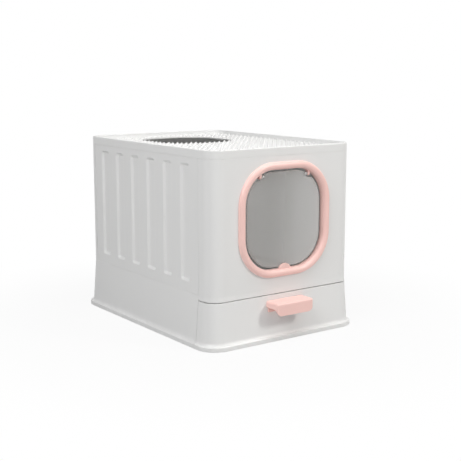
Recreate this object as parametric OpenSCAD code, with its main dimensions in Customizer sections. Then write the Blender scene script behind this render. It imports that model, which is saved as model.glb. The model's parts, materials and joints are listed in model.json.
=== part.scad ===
// Drawer litter box: a panelled cabin on a flared base, with a swing flap in a
// round-cornered door ring, a perforated lid with an exit hole, and a litter drawer.
// Millimetres, +Z up, front towards -Y, origin at the middle of the footprint.

/* [Body] */
// Width of the upright walls, outside
body_w = 350; // [300:1:420]
// Depth of the upright walls, outside
body_d = 478; // [420:1:560]
// Height from the floor to the top of the lid's rim
body_h = 380; // [350:1:460]
// Outside radius of the upright corners
corner_r = 29; // [22:1:45]
// Thickness of the moulded walls
wall = 3; // [2:0.1:4]
// Height where the upright walls begin to flare
flare_top = 103; // [100:1:125]
// How far the flare stands out at its foot
flare_out = 6.2; // [3:0.1:9]
// Height of the foot of the flare
flare_foot = 18; // [15:0.5:24]
// How far the bottom flange stands out
flange_out = 13.5; // [11:0.1:20]
// Height of the bottom flange
flange_h = 10; // [8:0.1:12]
// Radius of the flange's upper edge
flange_r = 1.8; // [1:0.1:3.5]
// Radius of the flange's lower edge
foot_r = 1.2; // [0.6:0.1:2]
// Height of the flange's upright inner face
flange_back = 2; // [1:0.5:4]

/* [Side channels] */
// Number of channels in each side wall
channels = 6; // [2:1:7]
// Width of a channel
channel_w = 31; // [20:0.5:36]
// Plain wall before the first channel and after the last
channel_end = 30; // [20:1:60]
// Depth of a channel
channel_depth = 4.8; // [2:0.1:7]
// Corner radius of a channel
channel_r = 6; // [2:0.5:12]
// Wall left under the channels, above the tongue of the base
channel_foot = 12; // [8:0.5:30]

/* [Panels] */
// Straight length of the front panel behind its rounded corner
front_wrap = 13; // [10:1:40]
// Straight length of the rear panel before its rounded corner
rear_wrap = 1.5; // [1:0.5:30]
// Width of the lap strip behind a panel joint
lap_w = 12; // [9:1:20]
// Thickness of lap strips and tongues
lap_t = 2.2; // [1.5:0.1:3]
// Width of the root that carries a lap strip
lap_root = 6; // [4:0.5:9]
// Height of the base's tongue behind the panels
tongue_h = 6; // [4:0.5:10]
// Height of the tongue's root below the top of the flare
tongue_root = 7; // [5:0.5:10]
// Width of the sill over the drawer
sill_w = 11; // [6:1:20]
// Open joint between two panels
panel_gap = 0.4; // [0.2:0.1:1]
// Length of a snap lug
lug_h = 12; // [6:1:20]
// Width of a snap lug
lug_w = 5.4; // [3:0.2:7]
// How far a snap lug stands out behind its lap strip
lug_nose = 1.2; // [0.6:0.2:2]
// Number of snap lugs in a panel joint
lugs = 3; // [2:1:5]

/* [Lid] */
// Height of the lid's skirt
skirt_h = 16.2; // [14:0.2:26]
// Depth of the lid's tongue inside the walls
lid_tongue = 8.5; // [5:0.5:12]
// Radius of the rim's outer edge
rim_round = 1.5; // [0.6:0.1:2]
// Depth of the tray in the lid's top
tray_depth = 9.6; // [6:0.2:12]
// Thickness of the perforated plate
plate_t = 2.4; // [1.8:0.1:3]
// Width of the ledge that carries the plate
ledge_w = 9; // [6:0.5:14]
// Width of the exit hole
exit_w = 182; // [140:1:220]
// Corner radius of the exit hole
exit_r = 70; // [40:1:70]
// Width of the plate between the exit hole and the rear rim
exit_margin = 37; // [20:1:90]
// Drain holes' spacing across the lid
drain_x = 12.2; // [11:0.1:20]
// Drain holes' spacing along the lid
drain_y = 15.2; // [12:0.1:24]
// Diameter of a drain hole
drain_dia = 7; // [3:0.5:8]
// Plain margin at the plate's edge and around the exit hole
drain_margin = 8; // [6:1:20]

/* [Door] */
// Clear width inside the door ring
door_w = 194; // [150:1:220]
// Clear height inside the door ring
door_h = 195; // [150:1:200]
// Corner radius of the door ring's opening
door_r = 67; // [40:1:70]
// Height of the lower edge of the door ring's opening
door_low = 141.5; // [135:0.5:160]
// Width of the ring's round bead
bead_w = 15; // [11:0.5:22]
// How far the bead stands out from the wall
bead_out = 7.4; // [5:0.2:12]
// Thickness of the ring's sleeve
sleeve_t = 2.4; // [1.6:0.1:3]
// Depth of the ring's sleeve behind the wall's outer face
sleeve_depth = 9; // [7:0.5:14]
// Thickness of the clamp ring behind the wall
clamp_t = 2.6; // [2:0.2:4]
// Number of screws in the clamp ring
clamp_screws = 8; // [8:4:8]
// Thickness of the flap
flap_t = 2.4; // [1.6:0.1:3]
// Distance of the flap's middle behind the wall's outer face
flap_back = 4; // [0:0.5:5]
// Gap between the flap and the ring at each side
flap_gap = 7; // [4:0.5:10]
// Gap between the flap and the ring above and below
flap_gap_z = 4; // [3:0.5:6]
// Distance of each hinge lug's middle from the side of the opening
hinge_in = 37.5; // [34:0.5:60]
// Distance of the flap pins below the flap's top edge
hinge_drop = 8.5; // [8:0.1:12]
// Thickness of a hinge lug
lug_t = 5; // [3:0.2:7]
// Radius of the lugs' and knuckles' round ends
knuckle_r = 4; // [3:0.1:5]
// Length of a knuckle on the flap
knuckle_w = 7; // [5:0.5:12]
// Wall left at the blind end of a knuckle
knuckle_end = 1; // [0.6:0.1:2]
// Diameter of the flap pins
pin_dia = 3; // [2:0.1:4]
// Height of the half-moon stop at the foot of the ring
stop_h = 10; // [8:0.5:16]
// Width of the half-moon stop
stop_w = 30; // [20:1:50]
// Thickness of the half-moon stop
stop_t = 5; // [3:0.2:6]

/* [Drawer] */
// Distance of the drawer front's top edge below the top of the flare
front_drop = 11; // [8:1:20]
// Room between the body's side walls and the litter tray
tray_side = 10; // [9:0.5:30]
// Room between the drawer front's upright line and the litter tray
tray_ahead = 3; // [2:0.5:10]
// Room between the rear wall and the litter tray
tray_behind = 10; // [8:0.5:30]
// Distance of the litter tray's rim below the drawer front's top edge
tray_drop = 2; // [1:0.5:6]
// Wall of the litter tray
tray_wall = 2.5; // [2:0.1:4]
// Corner radius of the litter tray
tray_r = 26; // [15:1:40]
// Width of the litter tray's rim
tray_rim = 5; // [3:0.5:6]
// Height of the litter tray's rim
tray_rim_h = 4; // [2:0.5:8]
// Diameter of the bosses between the drawer front and the tray
boss_dia = 9; // [7:0.5:12]
// Width of the handle
handle_w = 92; // [60:1:140]
// How far the handle reaches in front of the upright wall
handle_reach = 36; // [28:1:50]
// Distance of the handle's top below the drawer front's top edge
handle_drop = 10; // [4:1:16]
// Height of the handle's lip
lip_h = 25.5; // [18:0.5:32]
// Wall of the handle
handle_wall = 3; // [2.4:0.1:4]
// Rounding of the handle's upper front edge
handle_round = 3.2; // [1.5:0.1:5]
// Radius of the lip's lower corners
lip_r = 10; // [4:0.5:12]
// Height of the handle's end cheeks
cheek_h = 12.5; // [8:0.5:16]
// Radius of the curve from a cheek down into the lip
cheek_r = 5; // [2:0.5:8]
// Height of the handle's back plate
back_h = 22; // [17:0.5:24]

/* [Base] */
// Thickness of the base floor
floor_t = 3; // [2:0.1:5]
// Height of the base floor's underside
floor_z = 8; // [6:0.5:10]
// Thickness of the runners' foot under the tray
runner_foot = 2; // [2:0.1:3]
// Thickness of the runners' web beside the tray
runner_web = 2.4; // [1.6:0.1:4]
// Distance of the runners' ends from the upright walls' line
runner_end = 20; // [16:1:60]
// Height of the runners' web
runner_h = 13; // [8:1:20]
// Width of the runners' foot
runner_w = 20; // [14:1:30]
// Diameter of the foot pads
pad_dia = 28; // [18:1:40]
// Thickness of the foot pads
pad_t = 2.5; // [1.5:0.1:4]
// Distance of the foot pads' middles from the side walls
pad_side = 45; // [40:1:90]
// Distance of the foot pads' middles from the front and rear walls
pad_end = 70; // [60:1:120]
// Width of the ribs that stop the closed drawer
rib_w = 6; // [3:0.5:10]

/* [Screws] */
// Shank diameter of the screws
screw_dia = 3; // [2.5:0.1:4]
// Head diameter of the screws
head_dia = 6; // [5:0.1:8]
// Height of the screw heads
head_h = 1.8; // [1.2:0.1:2]
// Distance of the end screws of a runner from the upright walls' line
runner_screw_end = 60; // [40:1:120]
// How far a ring screw's tip stays short of the bead's crown
tip_gap = 3; // [2:0.1:4]
// How far a tray screw's tip stays short of the drawer front's upright line
tray_tip_gap = 1; // [0.5:0.1:2]

/* [Clearances] */
// Air between pieces that move past each other
move_gap = 0.5; // [0.3:0.05:1]
// Air at the joint above the drawer front
drawer_gap = 1.5; // [0.8:0.1:3]
// Air between the lid and the tops of the walls
lid_gap = 0.4; // [0.3:0.1:1]
// Air under the flange when the box stands on its pads
foot_gap = 0.8; // [0.4:0.1:1.5]
// Air under the litter tray, on the runners
slide_gap = 0.3; // [0.3:0.05:0.6]
// Air between pieces that are fastened together
seat_gap = 0.1; // [0.05:0.01:0.2]
// Radial air around a turning pin
pin_gap = 0.05; // [0.02:0.01:0.1]
// Radial air around a screw's shank
screw_gap = 0.05; // [0.02:0.01:0.3]

/* [Hidden] */
$fn = 96;

white = "whitesmoke";
pink = "lightpink";
grey = "dimgray";
steel = "silver";

// The handle reaches past the front flange, so the body sits back by half of that.
centre_y = (handle_reach - flange_out) / 2;
eps = 0.01;
over = 1; // how far a cut reaches past what it cuts
screw_room = screw_dia + 2 * screw_gap;
head_seat = 0.7; // lifts the handle screws' heads clear of the drawer front's slope

// Joints between panels, as distances from the upright walls' outer line
lap = wall + panel_gap;
lap_in = lap + lap_t;
front_seam = -(body_d / 2 - corner_r - front_wrap);
rear_seam = body_d / 2 - corner_r - rear_wrap;
side_mid = (front_seam + rear_seam) / 2;
wall_top = body_h - skirt_h - lid_gap;
lid_tongue_low = wall_top - lid_tongue;
tongue_top = flare_top + tongue_h;
lap_low = tongue_top + 2 * move_gap;
lap_top = lid_tongue_low - wall;
// Heights of the snap lugs in each panel joint
lug_heights = [for (k = [1 : lugs]) lap_low + (lap_top - lap_low) * (k - 0.5) / lugs];

// Drawer
front_top = flare_top - front_drop;
sill_low = front_top + drawer_gap;
floor_top = floor_z + floor_t;
tray_low = floor_top + runner_foot + slide_gap;
tray_top = front_top - tray_drop;
tray_w = body_w - 2 * (wall + tray_side);
tray_front = -body_d / 2 + wall + tray_ahead;
tray_back = body_d / 2 - wall - tray_behind;
tray_d = tray_back - tray_front;
tray_y = (tray_back + tray_front) / 2;
tray_screw_rows = [0.3, 0.75]; // as shares of the tray's height
handle_top = front_top - handle_drop;
handle_low = handle_top - back_h;
lip_low = handle_top - lip_h;

// Lid
plate_low = body_h - tray_depth - plate_t;
exit_back = body_d / 2 - wall - exit_margin - exit_w / 2;

// Door
door_z = door_low + door_h / 2;
sleeve_w = door_w + 2 * sleeve_t;
sleeve_h = door_h + 2 * sleeve_t;
sleeve_r = door_r + sleeve_t;
clamp_out = (bead_w + sleeve_t) / 2;
flap_w = door_w - 2 * flap_gap;
flap_h = door_h - 2 * flap_gap_z;
hinge_x = door_w / 2 - hinge_in;
hinge_z = door_z + flap_h / 2 - hinge_drop;
knuckle_x = hinge_x - lug_t / 2 - move_gap - knuckle_w;
pin_start = knuckle_x + knuckle_end;

// How far the flared wall stands outside the upright wall at a given height
function outset_at(z) = flare_out * max(flare_top - z, 0) / (flare_top - flare_foot);

// ---- outlines and sweeps -------------------------------------------------

// Puts a piece in the frame, whose origin is the middle of the whole footprint.
module placed() {
    translate([0, centre_y, 0]) children();
}

module both_sides() {
    children();
    mirror([1, 0, 0]) children();
}

// A rectangle with round corners.
module round_rect(w, d, r) {
    square([w - 2 * r, d], center = true);
    square([w, d - 2 * r], center = true);
    for (x = [-1, 1], y = [-1, 1])
        translate([x * (w / 2 - r), y * (d / 2 - r)]) circle(r);
}

// The body's outline, grown by out.
module outline(out = 0) {
    round_rect(body_w + 2 * out, body_d + 2 * out, corner_r + out);
}

function shifted(points, by) = [for (p = points) [p[0] + by, p[1]]];

// A profile of [outset, height] points run along Y on the right-hand side.
module side_run(points, w, y0, y1) {
    translate([0, y1, 0]) rotate([90, 0, 0])
        linear_extrude(y1 - y0) polygon(shifted(points, w / 2));
}

// The same profile along X at the rear.
module end_run(points, w, d, r) {
    rotate([0, 0, 90]) side_run(points, d, -(w / 2 - r), w / 2 - r);
}

// The same profile round the right rear corner.
module corner_run(points, w, d, r) {
    translate([w / 2 - r, d / 2 - r, 0])
        rotate_extrude(angle = 90) polygon(shifted(points, r));
}

// The profile all the way round.
module ring_run(points, w, d, r) {
    both_sides() side_run(points, w, -(d / 2 - r), d / 2 - r);
    for (flip = [0, 1]) mirror([0, flip, 0]) {
        end_run(points, w, d, r);
        both_sides() corner_run(points, w, d, r);
    }
}

// The profile round the rear of the body, as far forward as y0 on both sides.
module rear_run(points, y0) {
    both_sides() side_run(points, body_w, y0, body_d / 2 - corner_r);
    both_sides() corner_run(points, body_w, body_d, corner_r);
    end_run(points, body_w, body_d, corner_r);
}

// The profile round the front of the body, as far back as y1 on both sides.
module front_run(points, y1) {
    mirror([0, 1, 0]) rear_run(points, -y1);
}

// A screw with its head's underside at the origin and its shank along -Z.
module screw(length) {
    translate([0, 0, -length]) cylinder(d = screw_dia, h = length + eps);
    cylinder(d = head_dia, h = head_h);
}

module screw_hole(length) {
    translate([0, 0, -length]) cylinder(d = screw_room, h = length);
}

// ---- base ----------------------------------------------------------------

// Outer face of the flare and flange, from a given top height down to the floor.
function skirt_outer(top) = concat(
    [[outset_at(top), top]],
    [for (t = [0 : 15 : 90]) [
        flare_out + (flange_out - flange_r - flare_out) * (1 - cos(t)),
        flare_foot - (flare_foot - flange_h) * sin(t)
    ]],
    [for (t = [60 : -30 : 0]) [flange_out - flange_r * (1 - cos(t)), flange_h - flange_r * (1 - sin(t))]],
    [for (t = [0 : 45 : 90]) [flange_out - foot_r * (1 - cos(t)), foot_gap + foot_r * (1 - sin(t))]]
);

// Inner face, from the floor up to a given height.
function skirt_inner(top) = [
    [flange_out - wall, foot_gap],
    [flange_out - wall, foot_gap + flange_back],
    [flare_out - wall, floor_z],
    [flare_out - wall, flare_foot],
    [outset_at(top) - wall, top]
];

module base_frame() {
    tongue_foot = flare_top - tongue_root;
    skirt = concat(
        skirt_outer(flare_top),
        skirt_inner(tongue_foot - lap_t),
        [
            [-lap_in, tongue_foot],
            [-lap_in, flare_top + tongue_h],
            [-lap, flare_top + tongue_h],
            [-lap, flare_top]
        ]
    );
    color(white) placed() difference() {
        union() {
            rear_run(skirt, front_seam);
            translate([0, 0, floor_z]) linear_extrude(floor_t) {
                intersection() {
                    outline(flare_out - wall / 2);
                    translate([-body_w, front_seam]) square([2 * body_w, body_d]);
                }
                outline(-wall - move_gap);
            }
            pad_sites() translate([0, 0, pad_t])
                cylinder(d = pad_dia + 2 * wall, h = floor_z - pad_t + eps);
            // Ribs that stop the closed drawer
            both_sides() translate([body_w / 4, tray_back + move_gap, floor_top - eps])
                cube([rib_w, body_d / 2 - tray_back, tray_top / 2]);
        }
        runner_sites() translate([0, 0, eps]) screw_hole(floor_t + 2 * eps);
    }
}

module pad_sites() {
    for (x = [-1, 1], y = [-1, 1])
        translate([x * (body_w / 2 - pad_side), y * (body_d / 2 - pad_end), 0]) children();
}

module foot_pads() {
    color(grey) placed() pad_sites() cylinder(d = pad_dia, h = pad_t);
}

// Screws of the runners, at the top of the base floor.
module runner_sites() {
    for (x = [-1, 1], y = [-1, 0, 1])
        translate([x * (tray_w - runner_w) / 2, y * (body_d / 2 - runner_screw_end), floor_top])
            children();
}

// The runner: a foot under the litter tray and a web beside it.
module runner() {
    edge = tray_w / 2 + move_gap;
    length = body_d / 2 - runner_end;
    profile = [
        [edge - runner_w, floor_top],
        [edge + runner_web, floor_top],
        [edge + runner_web, floor_top + runner_h],
        [edge, floor_top + runner_h],
        [edge, floor_top + runner_foot],
        [edge - runner_w, floor_top + runner_foot]
    ];
    side_run(profile, 0, -length, length);
}

module runner_cuts() {
    runner_sites() {
        translate([0, 0, -eps]) cylinder(d = screw_room, h = runner_foot + over);
        translate([0, 0, runner_foot - head_h]) cylinder(d = head_dia + 0.4, h = head_h + over);
    }
}

module left_runner() {
    color(grey) placed() difference() {
        mirror([1, 0, 0]) runner();
        runner_cuts();
    }
}

module right_runner() {
    color(grey) placed() difference() {
        runner();
        runner_cuts();
    }
}

module runner_screws() {
    color(steel) placed() runner_sites() translate([0, 0, runner_foot - head_h])
        screw(floor_t + runner_foot - head_h - seat_gap);
}

// ---- panels --------------------------------------------------------------

module lug_sites(y) {
    for (z = lug_heights) translate([body_w / 2 - lap_in, y, z]) children();
}

// A strip behind a panel joint at Y = 0, carried by the panel on the -Y side.
module lap_strip() {
    strip_h = lap_top - lap_low;
    difference() {
        translate([body_w / 2 - lap_in, -lap_root, lap_low]) {
            cube([lap_t, lap_root + lap_w, strip_h]);
            cube([lap_in - wall + eps, lap_root - panel_gap, strip_h]);
        }
        lug_sites(lap_w / 2) translate([-over, -lug_w / 2 - seat_gap, -lug_h / 2 - seat_gap])
            cube([lap_t + 2 * over, lug_w + 2 * seat_gap, lug_h + 2 * seat_gap]);
    }
}

module side_panel() {
    low = flare_top + seat_gap;
    face_w = rear_seam - front_seam - 2 * panel_gap;
    face_h = wall_top - low;
    channel_low = tongue_top + channel_foot + wall;
    channel_h = lid_tongue_low - wall - 2 * move_gap - channel_low;
    channel_pitch = (face_w - 2 * channel_end - channel_w) / (channels - 1);
    // The face is drawn flat, with its outer side up, then stood up.
    translate([body_w / 2, side_mid, 0]) rotate([90, 0, 90]) difference() {
        union() {
            translate([-face_w / 2, low, -wall]) cube([face_w, face_h, wall]);
            channel_sites(channel_pitch) translate([0, channel_low + channel_h / 2, -channel_depth - wall])
                linear_extrude(channel_depth + eps)
                    round_rect(channel_w + 2 * wall, channel_h + 2 * wall, channel_r + wall);
        }
        channel_sites(channel_pitch) translate([0, channel_low + channel_h / 2, -channel_depth])
            linear_extrude(channel_depth + over) round_rect(channel_w, channel_h, channel_r);
    }
    for (y = [front_seam + lap_w / 2, rear_seam - lap_w / 2]) lug_sites(y)
        translate([-lug_nose, -lug_w / 2, -lug_h / 2])
            cube([lap_in - wall + lug_nose + eps, lug_w, lug_h]);
}

module channel_sites(pitch) {
    for (k = [0 : channels - 1])
        translate([(k - (channels - 1) / 2) * pitch, 0, 0]) children();
}

module left_panel() {
    color(white) placed() mirror([1, 0, 0]) side_panel();
}

module right_panel() {
    color(white) placed() side_panel();
}

module front_panel() {
    face = [
        [outset_at(sill_low), sill_low],
        [0, flare_top],
        [0, wall_top],
        [-wall, wall_top],
        [-wall, flare_top],
        [outset_at(sill_low) - wall - 1, sill_low + wall],
        [-wall - sill_w, sill_low + wall],
        [-wall - sill_w, sill_low]
    ];
    color(white) placed() difference() {
        union() {
            front_run(face, front_seam - panel_gap / 2);
            both_sides() translate([0, front_seam, 0]) lap_strip();
        }
        in_door() translate([0, 0, -wall - over]) linear_extrude(wall + 2 * over)
            round_rect(sleeve_w + 2 * move_gap, sleeve_h + 2 * move_gap, sleeve_r + move_gap);
        clamp_sites() translate([0, 0, over]) screw_hole(2 * wall);
    }
}

module rear_panel() {
    low = flare_top + seat_gap;
    face = [[0, low], [0, wall_top], [-wall, wall_top], [-wall, low]];
    color(white) placed() {
        rear_run(face, rear_seam + panel_gap / 2);
        both_sides() translate([0, rear_seam, 0]) mirror([0, 1, 0]) lap_strip();
    }
}

// ---- lid -----------------------------------------------------------------

module lid_frame() {
    tongue_out = -wall - move_gap;
    profile = concat(
        [[0, body_h - skirt_h]],
        [for (t = [0 : 30 : 90]) [-rim_round * (1 - cos(t)), body_h - rim_round * (1 - sin(t))]],
        [
            [-wall, body_h],
            [-wall, plate_low],
            [-wall - ledge_w, plate_low],
            [-wall - ledge_w, plate_low - plate_t],
            [tongue_out - lap_t, plate_low - plate_t],
            [tongue_out - lap_t, lid_tongue_low],
            [tongue_out, lid_tongue_low],
            [tongue_out, body_h - skirt_h]
        ]
    );
    color(white) placed() ring_run(profile, body_w, body_d, corner_r);
}

module lid_grid() {
    room_w = body_w - 2 * (wall + drain_margin);
    room_d = body_d - 2 * (wall + drain_margin);
    nx = floor(room_w / drain_x / 2);
    ny = floor(room_d / drain_y / 2);
    keep = drain_margin + drain_dia / 2;
    color(white) placed() translate([0, 0, plate_low + seat_gap]) linear_extrude(plate_t) difference() {
        outline(-wall - seat_gap);
        translate([0, exit_back]) round_rect(exit_w, exit_w, exit_r);
        for (i = [-nx : nx - 1], j = [-ny : ny - 1]) {
            spot = [(i + 0.5) * drain_x, (j + 0.5) * drain_y];
            in_plate = round_gap(spot, body_w / 2 - wall, body_d / 2 - wall, corner_r - wall);
            in_exit = round_gap(spot - [0, exit_back], exit_w / 2, exit_w / 2, exit_r);
            if (in_plate > keep && in_exit < -keep) translate(spot) circle(d = drain_dia, $fn = 24);
        }
    }
}

// Distance from a point to the edge of a round-cornered rectangle, positive inside.
function round_gap(p, half_w, half_d, r) =
    let (qx = abs(p[0]) - half_w + r, qy = abs(p[1]) - half_d + r)
    r - norm([max(qx, 0), max(qy, 0)]) - min(max(qx, qy), 0);

// ---- door ----------------------------------------------------------------

// Draws in the plane of the front wall: X right, Y up, Z out of the wall.
module in_door() {
    translate([0, -body_d / 2, door_z]) rotate([90, 0, 0]) children();
}

// Screws round the door, at the wall's outer face with +Z out of the wall.
module clamp_sites() {
    diagonal = door_r + clamp_out;
    in_door() for (k = [0 : clamp_screws - 1]) {
        a = k * 360 / clamp_screws;
        straight = k % 2 == 0;
        cx = (door_w / 2 - door_r) * (straight ? 0 : sign(cos(a)));
        cy = (door_h / 2 - door_r) * (straight ? 0 : sign(sin(a)));
        reach = straight ? (k % 4 == 0 ? door_w / 2 : door_h / 2) + clamp_out : diagonal;
        translate([cx + reach * cos(a), cy + reach * sin(a), 0]) children();
    }
}

module door_ring() {
    arc = [for (t = [180 : -15 : 0]) [bead_w / 2 * (1 + cos(t)), bead_out * sin(t)]];
    profile = concat([[0, -sleeve_depth]], arc, [[sleeve_t, 0], [sleeve_t, -sleeve_depth]]);
    stop_r = (stop_w * stop_w / 4 + stop_h * stop_h) / (2 * stop_h);
    color(pink) placed() difference() {
        union() {
            in_door() {
                ring_run(profile, door_w, door_h, door_r);
                // Half-moon stop in front of the flap
                stop_z = flap_t / 2 + move_gap - flap_back;
                translate([0, -door_h / 2, stop_z]) linear_extrude(stop_t) intersection() {
                    translate([0, stop_h - stop_r]) circle(stop_r);
                    translate([-stop_w, -sleeve_t / 2]) square([2 * stop_w, 2 * stop_h]);
                }
            }
            both_sides() hinge_lug();
        }
        clamp_sites() translate([0, 0, bead_out - tip_gap + seat_gap]) screw_hole(2 * bead_out);
        on_hinge(-body_w / 2) cylinder(d = pin_dia + 2 * pin_gap, h = body_w);
    }
}

// The lug that carries a flap pin, hung from the inside of the ring.
module hinge_lug() {
    edge_z = door_z + door_h / 2 - door_r
        + sqrt(door_r * door_r - pow(max(hinge_x + lug_t / 2 - door_w / 2 + door_r, 0), 2));
    on_hinge(hinge_x - lug_t / 2) rotate(90)
        linear_extrude(lug_t) {
            circle(knuckle_r);
            translate([-knuckle_r, 0]) square([2 * knuckle_r, edge_z - hinge_z + sleeve_t / 2]);
        }
}

// Draws along the flap's axis, from x towards +X.
module on_hinge(x) {
    translate([x, flap_back - body_d / 2, hinge_z]) rotate([0, 90, 0]) children();
}

module door_clamp_ring() {
    inner = sleeve_t + seat_gap;
    back = -wall - seat_gap;
    profile = [
        [inner, back],
        [bead_w, back],
        [bead_w, back - clamp_t],
        [inner, back - clamp_t]
    ];
    color(white) placed() difference() {
        in_door() ring_run(profile, door_w, door_h, door_r);
        clamp_sites() screw_hole(2 * (wall + clamp_t));
    }
}

module door_screws() {
    color(steel) placed() clamp_sites() translate([0, 0, -wall - clamp_t - 2 * seat_gap])
        mirror([0, 0, 1]) screw(wall + clamp_t + 2 * seat_gap + bead_out - tip_gap);
}

module flap() {
    // Swung up, the full width must lie behind the ring's sleeve
    cut_low = hinge_z - max(knuckle_r, sleeve_depth - flap_back + flap_t / 2) - move_gap - door_z;
    color([0.85, 0.87, 0.88, 0.5]) placed() difference() {
        union() {
            in_door() translate([0, 0, -flap_back - flap_t / 2]) linear_extrude(flap_t) difference() {
                round_rect(flap_w, flap_h, door_r - flap_gap_z);
                // Corners cut back to clear the hinge lugs
                for (x = [-1, 1])
                    translate([x * (knuckle_x + knuckle_w + flap_w / 2), cut_low + flap_w / 2])
                        square(flap_w, center = true);
            }
            both_sides() on_hinge(knuckle_x) cylinder(r = knuckle_r, h = knuckle_w);
        }
        both_sides() on_hinge(pin_start) cylinder(d = pin_dia + 2 * screw_gap, h = knuckle_w);
    }
}

module flap_pins() {
    start = pin_start + seat_gap;
    color(steel) placed() both_sides() on_hinge(start)
        cylinder(d = pin_dia, h = hinge_x + lug_t / 2 - start);
}

// ---- drawer --------------------------------------------------------------

module litter_tray() {
    profile = [
        [0, tray_low],
        [0, tray_top - tray_rim_h],
        [tray_rim, tray_top - tray_rim_h],
        [tray_rim, tray_top],
        [-tray_wall, tray_top],
        [-tray_wall, tray_low]
    ];
    color(grey) placed() difference() {
        translate([0, tray_y, 0]) union() {
            // The rim stops at the front wall, where the drawer front stands
            intersection() {
                ring_run(profile, tray_w, tray_d, tray_r);
                translate([-body_w / 2, -tray_d / 2, 0]) cube([body_w, tray_d + 2 * tray_rim, body_h / 2]);
            }
            translate([0, 0, tray_low]) linear_extrude(tray_wall)
                round_rect(tray_w - 2 * move_gap, tray_d - 2 * move_gap, tray_r - move_gap);
        }
        tray_screw_sites() translate([0, 0, tray_wall + over]) screw_hole(tray_wall + 2 * over);
    }
}

// Screws through the tray's front wall, at its outer face with +Z towards the tray.
module tray_screw_sites() {
    for (x = [-1, 1], z = tray_screw_rows)
        translate([x * (tray_w / 2 - tray_r - 2 * boss_dia), tray_front, tray_low + (tray_top - tray_low) * z])
            rotate([-90, 0, 0]) children();
}

module drawer_front() {
    profile = concat(skirt_outer(front_top), skirt_inner(front_top));
    boss_h = tray_ahead + flare_out + wall;
    color(white) placed() difference() {
        union() {
            front_run(profile, front_seam - 2 * panel_gap);
            intersection() {
                tray_screw_sites() translate([0, 0, -boss_h - seat_gap])
                    cylinder(d = boss_dia, h = boss_h);
                inside_front();
            }
        }
        tray_screw_sites() screw_hole(tray_ahead + wall);
        handle_sites() translate([0, 0, over]) screw_hole(2 * wall);
    }
}

// The space behind the drawer front's face, for what stands on its back.
module inside_front() {
    y_top = -(body_d / 2 + outset_at(front_top) - wall / 2);
    y_foot = -(body_d / 2 + flare_out - wall / 2);
    translate([-body_w / 2, 0, 0]) rotate([90, 0, 90]) linear_extrude(body_w)
        polygon([[0, flare_foot], [y_foot, flare_foot], [y_top, front_top], [0, front_top]]);
}

module tray_screws() {
    color(steel) placed() tray_screw_sites() translate([0, 0, tray_wall + seat_gap])
        screw(tray_wall + tray_ahead + wall - tray_tip_gap);
}

// Screws that hold the handle, at its back plate with +Z towards the tray.
module handle_sites() {
    z = (handle_top + handle_low) / 2;
    for (x = [-1, 1])
        translate([x * handle_w / 4, -(body_d / 2 + outset_at(z) - wall), z])
            rotate([-90, 0, 0]) children();
}

// Side view of the handle, drawn as [distance in front of the wall, height].
module handle_side() {
    inner = handle_reach - handle_wall;
    under = handle_top - handle_wall;
    polygon(concat(
        [[outset_at(handle_top) + seat_gap, handle_top]],
        handle_edge,
        [
            [handle_reach, lip_low],
            [inner, lip_low],
            [inner, under - handle_round],
            [inner - handle_round, under],
            [outset_at(under) + handle_wall, under],
            [outset_at(handle_low) + handle_wall, handle_low],
            [outset_at(handle_low) + seat_gap, handle_low]
        ]
    ));
}

// The rounded upper front edge.
handle_edge = [for (t = [90 : -22.5 : 0]) [
    handle_reach - handle_round * (1 - cos(t)),
    handle_top - handle_round * (1 - sin(t))
]];

// The end wall of the handle: a cheek that curves down into the lip.
module handle_cheek() {
    inner = handle_reach - handle_wall;
    low = handle_top - cheek_h;
    polygon(concat(
        [[outset_at(handle_top) + seat_gap, handle_top]],
        handle_edge,
        [[handle_reach, low - cheek_r]],
        [for (t = [0 : 22.5 : 90]) [inner - cheek_r * sin(t), low - cheek_r * cos(t)]],
        [[outset_at(low) + seat_gap, low]]
    ));
}

// Extrudes a side view along X, facing forwards.
module along_handle(w) {
    translate([-w / 2, -body_d / 2, 0]) rotate([90, 0, 90]) linear_extrude(w)
        mirror([1, 0]) children();
}

module drawer_handle() {
    color(pink) placed() difference() {
        intersection() {
            union() {
                along_handle(handle_w) handle_side();
                for (x = [-1, 1])
                    translate([x * (handle_w - handle_wall) / 2, 0, 0])
                        along_handle(handle_wall) handle_cheek();
            }
            // Front view, with the lip's lower corners rounded off
            translate([0, 0, handle_top - lip_h / 2]) rotate([90, 0, 0])
                linear_extrude(body_d) union() {
                    translate([0, lip_r / 2]) square([handle_w, lip_h - lip_r], center = true);
                    square([handle_w - 2 * lip_r, lip_h], center = true);
                    for (x = [-1, 1])
                        translate([x * (handle_w / 2 - lip_r), lip_r - lip_h / 2]) circle(lip_r);
                }
        }
        handle_sites() screw_hole(2 * (wall + handle_wall));
    }
}

module handle_screws() {
    color(steel) placed() handle_sites() translate([0, 0, head_seat]) screw(wall + handle_wall);
}

base_frame();
left_runner();
right_runner();
runner_screws();
foot_pads();
left_panel();
right_panel();
front_panel();
rear_panel();
lid_frame();
lid_grid();
door_ring();
door_clamp_ring();
door_screws();
flap();
flap_pins();
litter_tray();
drawer_front();
tray_screws();
drawer_handle();
handle_screws();
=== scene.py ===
# %% [markdown]
# # A drawer litter box, finished in Blender
# A small cabin of moulded panels stands on a flared base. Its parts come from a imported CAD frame, which
# fixes every size and every joint. This notebook dresses that frame: each cell makes one piece or one
# finish, first saying what it is on the real box and why it is made the way it is.

# %% Load the frame
import json
import math

import bmesh
import bpy
from mathutils import Matrix, Vector
from mathutils.geometry import tessellate_polygon


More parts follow.
